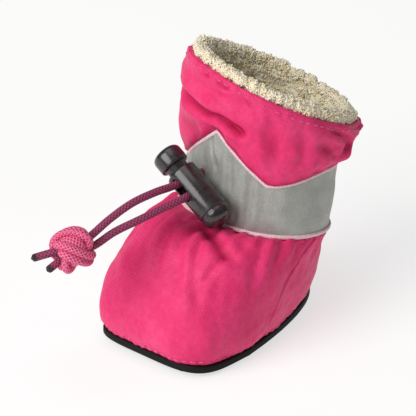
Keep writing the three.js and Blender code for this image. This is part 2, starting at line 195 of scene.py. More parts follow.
def surface(name, grid, shade=None, tube=False):
    """A cloth or cord surface over a grid of points, rows by columns, that closes round its columns.

    Its UV map is in millimetres: across the rows and along them.
    shade, a cloth's painted shade or a cord's melted ends, is kept as the attribute depth.
    A tube's rows close too, the last to the first.
    """
    rows, columns = grid.shape[:2]
    if tube:
        grid = np.concatenate([grid, grid[:1]])
        shade = None if shade is None else np.concatenate([shade, shade[:1]])
        rows += 1
    girth = norm(np.roll(grid, -1, axis=1) - grid, axis=2).sum(axis=1).mean()
    steps = norm(np.diff(grid, axis=0), axis=2).mean(axis=1)
    climb = np.concatenate([[0], np.cumsum(steps)])
    bm = bmesh.new()
    uv = bm.loops.layers.uv.new("cloth_mm")
    depth = bm.verts.layers.float.new("depth")
    bmesh.ops.create_grid(bm, x_segments=columns, y_segments=rows - 1, size=1)
    place = {}
    for vert in bm.verts:
        i = round((vert.co.x + 1) / 2 * columns)
        j = round((vert.co.y + 1) / 2 * (rows - 1))
        place[vert] = (i, j)
        vert.co = grid[j, i % columns]
        if shade is not None:
            vert[depth] = shade[j, i % columns]
    for face in bm.faces:
        for loop in face.loops:
            i, j = place[loop.vert]
            loop[uv].uv = (i / columns * girth, climb[j])
    bmesh.ops.remove_doubles(bm, verts=bm.verts, dist=1e-5)
    bmesh.ops.recalc_face_normals(bm, faces=bm.faces)
    return keep_mesh(name, bm)


def unit(vectors):
    return vectors / norm(vectors, axis=-1, keepdims=True)


def all_round(count):
    """This many angles, evenly round a circle."""
    return np.linspace(0, 2 * pi, count, endpoint=False)


def run_along(path):
    """How far along a path each of its points lies."""
    return np.concatenate([[0], np.cumsum(norm(np.diff(path, axis=0), axis=1))])


def between_neighbours(points, axis):
    """From each point's last neighbour to its next, in a closed row."""
    return np.roll(points, -1, axis=axis) - np.roll(points, 1, axis=axis)


def normals(grid, tube=False):
    """Outward unit normals of a grid whose columns run anticlockwise and whose rows climb."""
    across = between_neighbours(grid, 1)
    along = between_neighbours(grid, 0) if tube else np.gradient(grid, axis=0)
    n = np.cross(across, along)
    return n / np.maximum(norm(n, axis=2, keepdims=True), 1e-9)


def ripple(points, wavelength, seed):
    """Soft irregular waves of one typical length, about -1 to 1, the same on each run."""
    draw = np.random.RandomState(seed)
    total = np.zeros(points.shape[:-1])
    waves = 7
    for _ in range(waves):
        way = draw.normal(size=3)
        way *= 2 * pi / (wavelength * draw.uniform(0.75, 1.35) * norm(way))
        total += np.sin(points @ way + draw.uniform(0, 2 * pi))
    return total / sqrt(waves)


def catmull_rom(a, b, c, d, t):
    return 0.5 * (2 * b + (c - a) * t + (2 * a - 5 * b + 4 * c - d) * t**2 + (3 * b - a - 3 * c + d) * t**3)


def smooth_path(points, steps):
    """Points, or whole rows of points, along a Catmull-Rom curve through the given ones."""
    p = np.array(points, float)
    p = np.concatenate([[2 * p[0] - p[1]], p, [2 * p[-1] - p[-2]]])
    out = []
    for i in range(1, len(p) - 2):
        t = np.linspace(0, 1, steps, endpoint=False).reshape((-1,) + (1,) * (p.ndim - 1))
        out.append(catmull_rom(*p[i - 1 : i + 3], t))
    out.append(p[-2][None])
    return np.concatenate(out)


def tube_grid(path, radii, sides, closed=False):
    """Rings round a path that turn as little as they can. Radii may be one number or one per point."""
    path = np.array(path, float)
    radii = np.broadcast_to(radii, len(path))
    ways = unit(between_neighbours(path, 0) if closed else np.gradient(path, axis=0))
    side = np.cross(ways[0], (0.3, 0.2, 0.93))
    angles = all_round(sides)
    rings = []
    for point, way, radius in zip(path, ways, radii):
        side = side - way * (side @ way)
        side /= norm(side)
        over = np.cross(way, side)
        rings.append(point + radius * (np.cos(angles)[:, None] * side + np.sin(angles)[:, None] * over))
    return np.array(rings)


def rounded_ends(path, radius):
    """One radius per point of a path, drawn in at both ends so that the tube closes there."""
    run = run_along(path)
    share = np.clip(np.minimum(run, run[-1] - run) / radius, 0, 1)
    return radius * np.sqrt(np.maximum(1 - (1 - share) ** 2, 1e-4))


# Sections of the boot, as in the CAD model: egg-shaped rings in planes that tip about the crosswise axis.


def spring_at(x):
    """How far the sole lifts off the floor towards its toe and its heel."""
    along = x / HALF_LENGTH
    toe = np.maximum(0, (along - TOE_SPRING_START) / (1 - TOE_SPRING_START))
    heel = np.maximum(0, (-along - HEEL_SPRING_START) / (1 - HEEL_SPRING_START))
    return TOE_SPRING * toe**2 + HEEL_SPRING * heel**2


SOLE_SECTION = dict(
    front=HALF_LENGTH, front_z=0.0, back=-HALF_LENGTH, back_z=0.0, middle=0.32 * HALF_LENGTH, half=HALF_WIDTH,
    front_power=4.4, back_power=2.6, taper=HEEL_TAPER, spring=1.0, slope=0.0, notch=0.0,
)


def ring(section, angles, inset=0.0):
    """A section's points at these angles from the toe, drawn in by inset."""
    middle, front, back = (section[key] for key in ("middle", "front", "back"))
    ahead = np.cos(angles) > 0
    reach = np.where(ahead, front - middle, middle - back) - inset
    power = np.where(ahead, section["front_power"], section["back_power"])
    total = (np.abs(np.cos(angles)) / reach) ** power
    total += (np.abs(np.sin(angles)) / (section["half"] - inset)) ** power
    radius = total ** (-1 / power)
    x = middle + radius * np.cos(angles)
    lean = (section["front_z"] - section["back_z"]) / (front - back)
    to_heel = np.maximum(0, (middle - x) / (middle - back))
    y = radius * np.sin(angles) * (1 - section["taper"] * to_heel)
    turn = np.abs(np.arctan2(np.sin(angles), np.cos(angles)))
    foot = radians(NOTCH_HALF_ANGLE)
    climb = np.clip((turn - foot) / radians(SIDE_RISE_ANGLE), 0, 1)
    side_share = SIDE_RISE / NOTCH_RISE * (1 - np.cos(pi * climb)) / 2
    notch_share = np.where(turn < foot, 1 - turn / foot, side_share)
    z = section["back_z"] + lean * (x - back) + section["spring"] * spring_at(x)
    z = z + section["notch"] * notch_share - section["slope"] * y
    return np.stack([x, y, z], axis=-1)


def station(along, tilt, depth, width, side_tilt=0.0, notch=0.0):
    """A section of the leaning shaft, this far along it from the ankle."""
    lean = radians(SHAFT_LEAN)
    x = -ANKLE_SETBACK - along * sin(lean)
    z = ANKLE_HEIGHT + along * cos(lean)
    run = depth / 2 * cos(radians(tilt))
    rise = depth / 2 * sin(radians(tilt))
    return dict(
        front=x + run, front_z=z + rise, back=x - run, back_z=z - rise, middle=x, half=width / 2,
        front_power=SHAFT_SQUARENESS, back_power=SHAFT_SQUARENESS, taper=0.0, spring=0.0,
        slope=tan(radians(side_tilt)), notch=notch,
    )


# 0 at the band's lower edge, 1 at its upper edge, 2 at the collar.
STATIONS = [
    station(0, ANKLE_TILT, ANKLE_DEPTH, ANKLE_WIDTH),
    station(BAND_HEIGHT, BAND_TOP_TILT, ANKLE_DEPTH, ANKLE_WIDTH, notch=NOTCH_RISE),
    station(BAND_HEIGHT + CUFF_HEIGHT, COLLAR_TILT, COLLAR_DEPTH, COLLAR_WIDTH, COLLAR_SIDE_TILT),
]

# The foot from the hem to the ankle, in shares as in the CAD model.
FOOT_COLUMNS = ("front_run", "front_rise", "back_run", "back_rise", "side", "middle", "puff", "toe", "heel")
FOOT_ROWS = [
    (0, 0, 0, 0, 0, 0, 0, 4.2, 2.6),
    (-0.05, 0.1, 1, 0.1, 0, 0.02, 0.6, 3.9, 2.6),
    (-0.06, 0.26, 1.8, 0.26, 0.1, 0.08, 0.95, 3.6, 2.55),
    (-0.01, 0.46, 2.2, 0.44, 0.2, 0.18, 1, 3.2, 2.5),
    (0.1, 0.66, 2, 0.6, 0.35, 0.32, 0.9, 2.8, 2.4),
    (0.27, 0.84, 1.6, 0.74, 0.55, 0.5, 0.7, 2.5, 2.3),
    (0.48, 1, 1.3, 0.86, 0.75, 0.7, 0.45, 2.3, 2.2),
    (0.73, 1.07, 1.1, 0.95, 0.9, 0.88, 0.2, 2.2, 2.15),
]


def mix(a, b, share):
    return a + (b - a) * share


def foot_section(values):
    row = dict(zip(FOOT_COLUMNS, values))
    ankle = STATIONS[0]
    puff = row["puff"] * FOOT_PUFF
    return dict(
        front=mix(HALF_LENGTH - HEM_INSET, ankle["front"], row["front_run"]),
        front_z=mix(HEM_HEIGHT, ankle["front_z"], row["front_rise"]),
        back=mix(-HALF_LENGTH + HEM_INSET, ankle["back"], row["back_run"]) - puff * HEEL_PUFF,
        back_z=mix(HEM_HEIGHT, ankle["back_z"], row["back_rise"]),
        middle=mix(SOLE_SECTION["middle"], ankle["middle"], row["middle"]),
        half=mix(HALF_WIDTH - HEM_INSET, ankle["half"], row["side"]) + puff,
        front_power=row["toe"], back_power=row["heel"], taper=HEEL_TAPER * (1 - row["side"]),
        spring=max(0, 1 - 2 * row["front_rise"]), slope=0.0, notch=0.0,
    )


FOOT = [foot_section(values) for values in FOOT_ROWS] + [STATIONS[0]]
ANKLE_ROW = len(FOOT) - 1


def foot_at(at):
    """The foot's section at a place from 0, the hem, to 8, the ankle, on a smooth curve through the rows."""
    low = min(int(at), ANKLE_ROW - 1)
    t = at - low
    four = [FOOT[min(max(low + k, 0), ANKLE_ROW)] for k in (-1, 0, 1, 2)]
    return {key: catmull_rom(*(row[key] for row in four), t) for key in FOOT[0]}


def shaft_at(at):
    low = 0 if at < 1 else 1
    return {key: mix(STATIONS[low][key], STATIONS[low + 1][key], at - low) for key in STATIONS[low]}


# How far the cuff stands out, in shares of its puff, at places from the band's top to the rim.
CUFF_OUT = np.array([(1, 0.55), (1.16, 1.15), (1.36, 1.2), (1.56, 0.85), (1.72, 1), (1.82, 0.9)])

# The rim under the fleece edging: outwards and upwards in millimetres from the collar's plane.
RIM = [(0.95, -1.1), (0.5, -0.6), (-0.1, -0.6), (-0.75, -1.0), (-2, -1.9)]


def cuff_out(at):
    return CUFF_PUFF * np.interp(at, CUFF_OUT[:, 0], CUFF_OUT[:, 1])


UPPER_COLUMNS = 320
angles = all_round(UPPER_COLUMNS)


def crease(points, path, width, depth):
    """How far a soft trough along a path sinks each point. It fades out at its ends. A ridge has a minus."""
    path = smooth_path(path, 6)
    run = np.linspace(0, 1, len(path))
    nearest = np.full(points.shape[:-1], 1e9)
    place = np.zeros(points.shape[:-1])
    for a, b, from_run, to_run in zip(path[:-1], path[1:], run[:-1], run[1:]):
        way = b - a
        t = np.clip(((points - a) @ way) / (way @ way), 0, 1)
        distance = norm(points - (a + t[..., None] * way), axis=-1)
        closer = distance < nearest
        nearest = np.where(closer, distance, nearest)
        place = np.where(closer, mix(from_run, to_run, t), place)
    fade = np.clip(np.minimum(place, 1 - place) * 4 + 0.35, 0, 1)
    trough = np.exp(-((nearest / width) ** 2))
    lips = 0.3 * np.exp(-(((nearest - 2 * width) / width) ** 2))
    return depth * fade * (trough - lips)


def creases(points, table, section_at, out=None):
    """How far all the creases of a table sink each point. Their paths lie on sections, this far out."""

    def spot(degrees, at):
        return ring(section_at(at), np.radians([degrees]), -out(at) if out else 0)[0]

    return sum(crease(points, [spot(*p) for p in path], width, depth) for path, width, depth in table)


# Main creases of the vamp: angle from the toe and place on the foot, then width and depth.
VAMP_CREASES = [
    # The drawn-in fold from under the lock to its pit, and the two that fork from it.
    ([(4, 7.6), (18, 6.95), (28, 6.45), (36, 6.0), (40, 5.8)], 1.0, 1.35),
    ([(36, 6.05), (45, 5.7), (54, 5.5)], 0.8, 0.5),
    ([(37, 6.0), (34, 5.3), (32, 4.6)], 0.7, 0.4),
    # The hollow under the lock, and the folds that fan out of it.
    ([(-20, 7.0), (-4, 7.1), (12, 7.0), (20, 6.9)], 2.1, 0.85),
    ([(-12, 7.2), (-9, 6.3), (-5, 5.4), (0, 4.6)], 0.9, 0.55),
    ([(2, 7.3), (5, 6.4), (11, 5.4), (18, 4.5)], 0.9, 0.5),
    ([(16, 6.6), (21, 5.6), (28, 4.6), (36, 3.7)], 0.8, 0.32),
    ([(-30, 7.4), (-25, 6.4), (-21, 5.2)], 1.0, 0.35),
    ([(-50, 7.4), (-44, 6.2), (-42, 4.8)], 1.1, 0.4),
    # Folds under the band's right side and round the back.
    ([(48, 7.4), (56, 6.5), (60, 5.4), (66, 4.2)], 0.9, 0.45),
    ([(66, 7.6), (71, 6.5), (75, 5.2)], 0.9, 0.45),
    ([(84, 7.7), (88, 6.4), (92, 5.2)], 0.9, 0.35),
    ([(114, 7.7), (118, 6.2), (126, 4.4)], 1.1, 0.45),
    ([(138, 7.6), (146, 5.8), (150, 4.4)], 1.2, 0.5),
    ([(166, 7.7), (172, 5.6)], 1.1, 0.4),
    ([(196, 7.7), (192, 5.8), (198, 4.4)], 1.2, 0.5),
    ([(224, 7.6), (218, 6.0), (214, 4.6)], 1.2, 0.45),
    ([(250, 7.7), (247, 6.0), (243, 4.2)], 1.1, 0.5),
    ([(278, 7.6), (284, 6.2), (286, 4.6)], 1.1, 0.45),
    # Soft ridges between them.
    ([(10, 6.2), (15, 5.2), (23, 4.2), (31, 3.2)], 1.1, -0.35),
    ([(-16, 6.6), (-12, 5.6), (-7, 4.4)], 1.1, -0.35),
    ([(46, 6.9), (56, 6.7), (66, 6.9)], 1.0, -0.3),
]

# The panel seams at both sides.
SIDE_SEAM = [(97, 7.95), (100, 6.9), (103, 5.4), (102, 4.1), (101, 2.4), (100, 0.2)]
VAMP_CREASES += [([(side * a, at) for a, at in SIDE_SEAM], 0.3, 0.38) for side in (1, -1)]

# Main creases of the cuff: angle and place from 1, the band's top, to 2, the collar.
CUFF_CREASES = [
    # The long fold round the front, to the pit where it ends.
    ([(-64, 1.62), (-40, 1.56), (-26, 1.44), (-8, 1.26), (9, 1.29), (17, 1.33), (25, 1.36)], 0.7, 2.1),
    ([(15, 1.32), (25, 1.36)], 0.7, 1.0),
    ([(-60, 1.76), (-26, 1.62), (-6, 1.46), (10, 1.5), (24, 1.56), (36, 1.6)], 1.15, -0.75),
    ([(-44, 1.28), (-28, 1.16), (-16, 1.1)], 1.6, 0.6),
    # Dimples under the rim.
    ([(-18, 1.9), (-12, 1.85), (-8, 1.88)], 0.5, 0.8),
    ([(0, 1.88), (5, 1.82), (11, 1.84)], 0.5, 0.7),
    ([(24, 1.84), (29, 1.8), (33, 1.83)], 0.5, 0.3),
    # The smooth front, a little hollow beside the notch.
    ([(42, 1.86), (46, 1.6), (48, 1.3)], 1.4, 0.3),
    ([(30, 1.7), (36, 1.4), (42, 1.15)], 1.2, -0.35),
    ([(60, 1.8), (66, 1.5), (64, 1.2)], 1.2, 0.35),
    # The folds at the right, where the cuff turns to the back.
    ([(84, 1.86), (93, 1.78), (103, 1.66), (106, 1.5), (98, 1.34)], 0.7, 0.85),
    ([(78, 1.55), (88, 1.4), (94, 1.2)], 0.8, 0.6),
    ([(88, 1.68), (96, 1.58), (96, 1.46)], 0.8, -0.45),
    # Round the back.
    ([(112, 1.3), (130, 1.42), (150, 1.5), (172, 1.46)], 1.0, 0.9),
    ([(120, 1.85), (136, 1.68), (146, 1.6)], 0.9, 0.5),
    ([(176, 1.8), (190, 1.6), (214, 1.5), (236, 1.56)], 1.0, 0.9),
    ([(200, 1.2), (216, 1.3), (230, 1.24)], 0.9, 0.6),
    ([(244, 1.8), (262, 1.62), (286, 1.6)], 1.0, 0.8),
    ([(256, 1.24), (276, 1.34), (296, 1.26)], 0.9, 0.6),
]


def gathers(turn, count, seed):
    """Uneven folds round a drawn-in edge, from -1 to 1, with about this many round the boot."""
    draw = np.random.RandomState(seed)
    bend = sum(draw.uniform(0.2, 0.6) * np.sin(k * turn + draw.uniform(0, 2 * pi)) for k in (1, 2, 3, 5))
    swell = 0.65 + 0.35 * np.sin(3 * turn + draw.uniform(0, 2 * pi))
    return swell * np.sin(count * turn + bend * 2.2)


def near_front(turn, width):
    """1 at the toe's side, and 0 far from it."""
    return np.exp(-((np.arctan2(np.sin(turn), np.cos(turn)) / width) ** 2))


def upper_rows():
    """The pink shell's rows: under the hem, up the foot, behind the band, and up the cuff to its rim.

    Each row is its part, its place there, its points and how much of the creasing it takes.
    """
    hem = ((1.2, 0.2), (0.7, -0.12), (0.15, -0.1))
    rows = [("hem", 0, ring(foot_at(0), angles, inset) + (0, 0, lift), 0) for inset, lift in hem]
    for at in np.linspace(0.03, ANKLE_ROW - 0.12, FOOT_STEPS):
        rows.append(("foot", at, ring(foot_at(at), angles), 1))
    rows.append(("foot", ANKLE_ROW, ring(STATIONS[0], angles, 0.15), 0.6))
    rows.append(("band", 0, ring(shaft_at(0.01), angles, 0.7), 0.3))
    for at in np.linspace(0.04, 0.96, 6):
        rows.append(("band", at, ring(shaft_at(at), angles, RECESS + 0.05), 0))
    lip = [(0.975, 0.95), (0.957, 0.6), (0.95, 0.1), (0.95, -0.45), (0.965, -0.75)]
    for at, inset in lip:
        rows.append(("cuff", at, ring(shaft_at(at), angles, inset), 0.5))
    keys = [ring(shaft_at(at), angles, -cuff_out(at)) for at in CUFF_OUT[:, 0]]
    keys += [ring(STATIONS[2], angles, -out) + (0, 0, lift) for out, lift in RIM]
    places = [*CUFF_OUT[:, 0], 1.93, 1.97, 1.99, 2, 2]
    for k, base in enumerate(smooth_path(keys, CUFF_STEPS)):
        at = np.interp(k / CUFF_STEPS, range(len(places)), places)
        part = "cuff" if at < 1.95 else "rim"
        rows.append((part, at, base, 1 if part == "cuff" else 0.3))
    return rows


def dressed_upper():
    part, at, grid, amount = (np.array(column) for column in zip(*upper_rows()))
    turn = np.broadcast_to(angles, grid.shape[:2])
    front = near_front(turn, 0.7)
    sink = np.zeros(grid.shape[:2])
    foot = np.isin(part, ["foot", "hem"])[:, None]
    cuff = np.isin(part, ["cuff", "rim"])[:, None]
    sink += foot * creases(grid, VAMP_CREASES, foot_at)
    sink += cuff * creases(grid, CUFF_CREASES, shaft_at, cuff_out)
    # Gathers at the ankle, the hem, the band's top and the rim. They fade out away from each.
    for here, away, strength, count, seed in (
        (foot, (ANKLE_ROW - at) / 1.3, 0.25 + 0.3 * front, 29, 3),
        (foot, at / 0.7, 0.13, 56, 5),
        (cuff, np.abs(at - 1) / 0.2, 0.2, 26, 7),
        (cuff, (2 - at) / 0.1, 0.14, 40, 9),
    ):
        sink += strength * (here * np.exp(-away)[:, None]) * gathers(turn, count, seed)
    # A hollow line where the hem is sewn to the sole.
    hem_line = np.where(foot[:, 0], np.exp(-(((at - HEM_SEAM) / 0.09) ** 2)), 0)[:, None]
    sink += 0.22 * hem_line
    sink += 0.15 * ripple(grid, 7.5, 11) + 0.06 * ripple(grid, 2.6, 13)
    # Each point takes half of its depth from its neighbours, so that no crease is cut by the grid.
    for axis in (0, 1):
        sink = sink / 2 + (np.roll(sink, 1, axis=axis) + np.roll(sink, -1, axis=axis)) / 4
    sink = amount[:, None] * DEEPEST_CREASE * np.tanh(sink / DEEPEST_CREASE)
    outward = normals(grid)
    # Painted shade, kept for the cloth's colour: darker in its creases and where it is drawn under the band's
    # two edges.
    under = np.where(foot[:, 0], np.exp(-(((ANKLE_ROW - at) / 0.22) ** 2)), 0)
    under += np.where(part == "cuff", np.exp(-(((at - 0.96) / 0.08) ** 2)), 0)
    shade = np.clip(sink, 0, DEEPEST_CREASE) + EDGE_SHADE * under[:, None]
    return grid - outward * sink[..., None], shade, outward, part == "foot"


def lining_rows(foot):
    """The fleece lining's rows, from under the edging down to the insole, a wall's depth inside."""
    inner = [(1.97, 2.3), (1.9, 2.75), (1.8, 2.9), (1.5, 2.8), (1.2, 2.9), (1, 3.5), (0.5, 3.5), (0, 3.5)]
    inner = np.array(inner)
    rows = []
    for t in np.linspace(0, len(inner) - 1, LINING_STEPS):
        at, inset = (np.interp(t, range(len(inner)), inner[:, k]) for k in (0, 1))
        section = shaft_at(at)
        section["notch"] = 0.0
        rows.append(ring(section, angles, inset))
    return np.concatenate([np.array(rows), foot[-8:4:-2]])


def edging_rows():
    """The fleece edging: a full soft roll round the collar, on the cuff's rim."""
    rows = []
    for phi in all_round(EDGING_SIDES):
        base = ring(STATIONS[2], angles, FLEECE_INSET - FLEECE_ROLL * cos(phi))
        rows.append(base + (0, 0, FLEECE_LIFT + FLEECE_ROLL * sin(phi)))
    return np.array(rows)


# Finishes.


def linear(hex_colour):
    """An sRGB hex colour as Blender's linear one."""
    values = [int(hex_colour[i : i + 2], 16) / 255 for i in (1, 3, 5)]
    return tuple(v / 12.92 if v <= 0.04045 else ((v + 0.055) / 1.055) ** 2.4 for v in values) + (1,)


def add_node(tree, kind, inputs=(), stops=(), **settings):
    """Adds a node with its settings, its inputs, each a value or a link, and a colour ramp's stops."""
    made = set_all(tree.nodes.new(kind), **settings)
    for key, value in dict(inputs).items():
        if isinstance(value, bpy.types.NodeSocket):
            tree.links.new(value, made.inputs[key])
        else:
            made.inputs[key].default_value = value
    if stops:
        points = made.color_ramp.elements
        while len(points) < len(stops):
            points.new(0.5)
        for point, (place, colour) in zip(points, stops):
            set_all(point, position=place, color=linear(colour))
    return made


def new_material(name, **shader):
    """A material with one Principled shader. Its inputs are given by name, with spaces as underscores."""
    material = bpy.data.materials.new(name)
    material.use_nodes = True
    tree = material.node_tree
    tree.nodes.clear()
    inputs = {key.replace("_", " "): value for key, value in shader.items()}
    made = add_node(tree, "ShaderNodeBsdfPrincipled", inputs)
    add_node(tree, "ShaderNodeOutputMaterial", {"Surface": made.outputs["BSDF"]})
    return material, tree, made


def millimetres(tree, source="Object"):
    """Object coordinates or the cloth's own UV map, in millimetres."""
    if source != "Object":
        return add_node(tree, "ShaderNodeUVMap", uv_map=source).outputs["UV"]
    scaled = {0: add_node(tree, "ShaderNodeTexCoord").outputs["Object"], 1: (1 / MM,) * 3}
    return add_node(tree, "ShaderNodeVectorMath", scaled, operation="MULTIPLY").outputs["Vector"]


def threads(tree, place, pitch):
    """A plain weave's height: warp and weft ribs that cross, at this pitch in millimetres."""
    inputs = {"Vector": place, "Scale": 2 * pi / (20 * pitch)}
    ribs = [add_node(tree, "ShaderNodeTexWave", inputs, bands_direction=way).outputs["Fac"] for way in "XY"]
    return add_node(tree, "ShaderNodeMath", dict(enumerate(ribs)), operation="ADD").outputs["Value"]


def put_on(tree, shader, colour, relief):
    tree.links.new(colour, shader.inputs["Base Color"])
    tree.links.new(relief.outputs["Normal"], shader.inputs["Normal"])


def speckled(name, scale, detail, stops, strength, distance, rough=None, **inputs):
    """A finish whose colour and bump come from one noise. Its roughness does too, if rough is its range."""
    material, tree, shader = new_material(name, **inputs)
    speckle = {"Vector": millimetres(tree), "Scale": scale, "Detail": detail}
    grain = add_node(tree, "ShaderNodeTexNoise", speckle).outputs["Fac"]
    colour = add_node(tree, "ShaderNodeValToRGB", {"Fac": grain}, stops).outputs["Color"]
    height = {"Height": grain, "Strength": strength, "Distance": distance * MM}
    put_on(tree, shader, colour, add_node(tree, "ShaderNodeBump", height))
    if rough:
        ends = {"Value": grain, "From Min": 0.3, "From Max": 0.7, "To Min": rough[0], "To Max": rough[1]}
        worn = add_node(tree, "ShaderNodeMapRange", ends).outputs["Result"]
        tree.links.new(worn, shader.inputs["Roughness"])
    return material


def woven_polyester():
    """Woven polyester, dyed hot pink: a fine even weave with a faint sheen, and painted shade in its folds
    and along the band's edges.
    """
    sheen = {"Sheen_Weight": 0.04, "Sheen_Roughness": 0.4, "Sheen_Tint": linear("#ff9cc0")}
    material, tree, shader = new_material(
        "woven_polyester_pink", Roughness=0.52, Specular_IOR_Level=0.2, **sheen
    )
    place = millimetres(tree)
    cloud = add_node(tree, "ShaderNodeTexNoise", {"Vector": place, "Scale": 0.16, "Detail": 3})
    mottle = add_node(tree, "ShaderNodeTexNoise", {"Vector": place, "Scale": 1.1, "Detail": 2})
    uneven = {"Factor": 0.35, 2: cloud.outputs["Fac"], 3: mottle.outputs["Fac"]}
    dye = {"Fac": add_node(tree, "ShaderNodeMix", uneven).outputs[0]}
    pinks = [(0.3, "#dc2d68"), (0.5, "#e63773"), (0.7, "#ee4781")]
    dyed = add_node(tree, "ShaderNodeValToRGB", dye, pinks).outputs["Color"]
    # Painted shade: a darker red in the folds and along the band's edges, by the attribute that surface()
    # kept.
    fold = add_node(tree, "ShaderNodeAttribute", attribute_name="depth").outputs["Fac"]
    reach = {"Value": fold, "From Min": 0.25, "From Max": 1.3, "To Max": 0.9}
    share = add_node(tree, "ShaderNodeMapRange", reach).outputs["Result"]
    painted_crease_shade = {"Factor": share, 6: dyed, 7: linear("#a80440")}
    colour = add_node(tree, "ShaderNodeMix", painted_crease_shade, data_type="RGBA").outputs[2]
    # Threads of 0.3 mm, drawn at 0.5 mm so that they show.
    weave = threads(tree, millimetres(tree, "cloth_mm"), 0.5)
    slubs = add_node(tree, "ShaderNodeTexNoise", {"Vector": place, "Scale": 2.2, "Detail": 4})
    lumps = {"Height": slubs.outputs["Fac"], "Strength": 0.35, "Distance": 0.25 * MM}
    soft = add_node(tree, "ShaderNodeBump", lumps).outputs["Normal"]
    fine = {"Height": weave, "Strength": 0.3, "Distance": 0.05 * MM, "Normal": soft}
    put_on(tree, shader, colour, add_node(tree, "ShaderNodeBump", fine))
    return material


def reflective_fabric():
    """Reflective tape: glass beads bonded on cloth, a satin grey with a faint sparkle."""
    material, tree, shader = new_material("reflective_fabric_grey", Roughness=0.48, Metallic=0.25)
    place = millimetres(tree)
    beads = add_node(tree, "ShaderNodeTexNoise", {"Vector": place, "Scale": 3.5, "Detail": 2})
    wear = add_node(tree, "ShaderNodeTexNoise", {"Vector": place, "Scale": 0.25, "Detail": 3})
    both = {"Factor": 0.5, 2: beads.outputs["Fac"], 3: wear.outputs["Fac"]}
    worn = {"Fac": add_node(tree, "ShaderNodeMix", both).outputs[0]}
    greys = [(0.3, "#90928d"), (0.5, "#a1a29d"), (0.7, "#b4b5b0")]
    colour = add_node(tree, "ShaderNodeValToRGB", worn, greys).outputs["Color"]
    # A woven backing of 0.4 mm threads shows through.
    weave = threads(tree, millimetres(tree, "cloth_mm"), 0.4)
    grit = {"Height": beads.outputs["Fac"], "Strength": 0.25, "Distance": 0.08 * MM}
    soft = add_node(tree, "ShaderNodeBump", grit).outputs["Normal"]
    fine = {"Height": weave, "Strength": 0.2, "Distance": 0.03 * MM, "Normal": soft}
    put_on(tree, shader, colour, add_node(tree, "ShaderNodeBump", fine))
    return material


def braided_cord(name, low, middle, high):
    """Round braided elastic: two sets of strands that cross in a slant.

    Where depth is 1, at the cut ends, it is melted to a dark bead so that it doesn't fray.
    """
    material, tree, shader = new_material(name, Roughness=0.6, Sheen_Weight=0.1, Sheen_Roughness=0.4)
    turn = {"Vector": millimetres(tree, "cloth_mm"), "Rotation": (0, 0, radians(45))}
    # Strands of 0.35 mm, drawn at 0.5 mm so that they show.
    braid = threads(tree, add_node(tree, "ShaderNodeMapping", turn).outputs["Vector"], 0.5)
    # Painted shade: the colour follows the braid's relief, darker in the grooves between strands and lighter
    # on their crowns.
    dyes_and_groove_shade = [(0.2, low), (0.6, middle), (1.0, high)]
    dyed = add_node(tree, "ShaderNodeValToRGB", {"Fac": braid}, dyes_and_groove_shade).outputs["Color"]
    sealed = add_node(tree, "ShaderNodeAttribute", attribute_name="depth").outputs["Fac"]
    melted = {"Factor": sealed, 6: dyed, 7: linear("#2c171f")}
    colour = add_node(tree, "ShaderNodeMix", melted, data_type="RGBA").outputs[2]
    ribs = {"Height": braid, "Strength": 0.6, "Distance": 0.12 * MM}
    put_on(tree, shader, colour, add_node(tree, "ShaderNodeBump", ribs))
    return material


pink_cloth = woven_polyester()
tape = reflective_fabric()
# The strands take a copy of the knot's pink cord, painted darker: painted shade.
shaded_cord = braided_cord("braided_cord_pink_shaded", "#4a1029", "#7a2146", "#a13c69")
knot_cord = braided_cord("braided_cord_pink", "#ac0c44", "#d62a68", "#f2749e")

# Knitted polyester fleece, brushed up: a matt cream pile in small curls.
CREAM = [(0.3, "#f1e0b6"), (0.5, "#faefd0"), (0.7, "#fff9e8")]
PILE = {"Roughness": 0.95, "Sheen_Weight": 1.0, "Sheen_Roughness": 0.5, "Specular_IOR_Level": 0.15}
fleece = speckled("sherpa_fleece_cream", 0.9, 4, CREAM, 0.25, 0.2, **PILE)

# Moulded rubber, black: matt with a fine grain and a little dust.
SOOT = [(0.35, "#080608"), (0.6, "#0e0b0d"), (0.8, "#1b1719")]
MATT = {"Roughness": 0.75, "Specular_IOR_Level": 0.3}
rubber = speckled("moulded_rubber_black", 3.0, 3, SOOT, 0.3, 0.08, **MATT)

# Moulded acetal, black: smooth and half glossy, with faint scratches from handling.
SLATE = [(0.35, "#242022"), (0.6, "#2f2b2d"), (0.8, "#3d383a")]
GLOSSY = {"Roughness": 0.28, "Coat_Weight": 0.3, "rough": (0.22, 0.34)}
acetal = speckled("moulded_acetal_black", 0.9, 5, SLATE, 0.08, 0.1, **GLOSSY)

# Spun polyester sewing thread: a matt twist.
TWIST = {"Roughness": 0.7, "Sheen_Weight": 0.15}
PINKS = [(0.35, "#d22a68"), (0.65, "#f0709e")]
pink_thread = speckled("sewing_thread_pink", 4.0, 2, PINKS, 0.3, 0.05, **TWIST)
PALES = [(0.35, "#e2b6c0"), (0.65, "#f6dfe3")]
pale_thread = speckled("binding_thread_pale", 4.0, 2, PALES, 0.3, 0.05, **TWIST)


def finish_piece(piece, material, body="shoe"):
    """Gives a piece its finish and the body that it moves with."""
    piece.data.materials.clear()
    piece.data.materials.append(material)
    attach(piece, body)
    return piece


# The drawcord, its knot and its lock.

toggle_axis = np.array([0, cos(radians(TOGGLE_ROLL)), -sin(radians(TOGGLE_ROLL))])
barrel_start = TOGGLE_LENGTH - BARREL_LENGTH
slot_width = CORD_DIAMETER + 2 * GAP
slot_start = barrel_start + SLOT_SETBACK
slot_end = slot_start + slot_width + CORD_DIAMETER + STRAND_GAP


def on_toggle(u):
    return np.array(TOGGLE_CENTRE) + toggle_axis * (u - TOGGLE_LENGTH / 2)


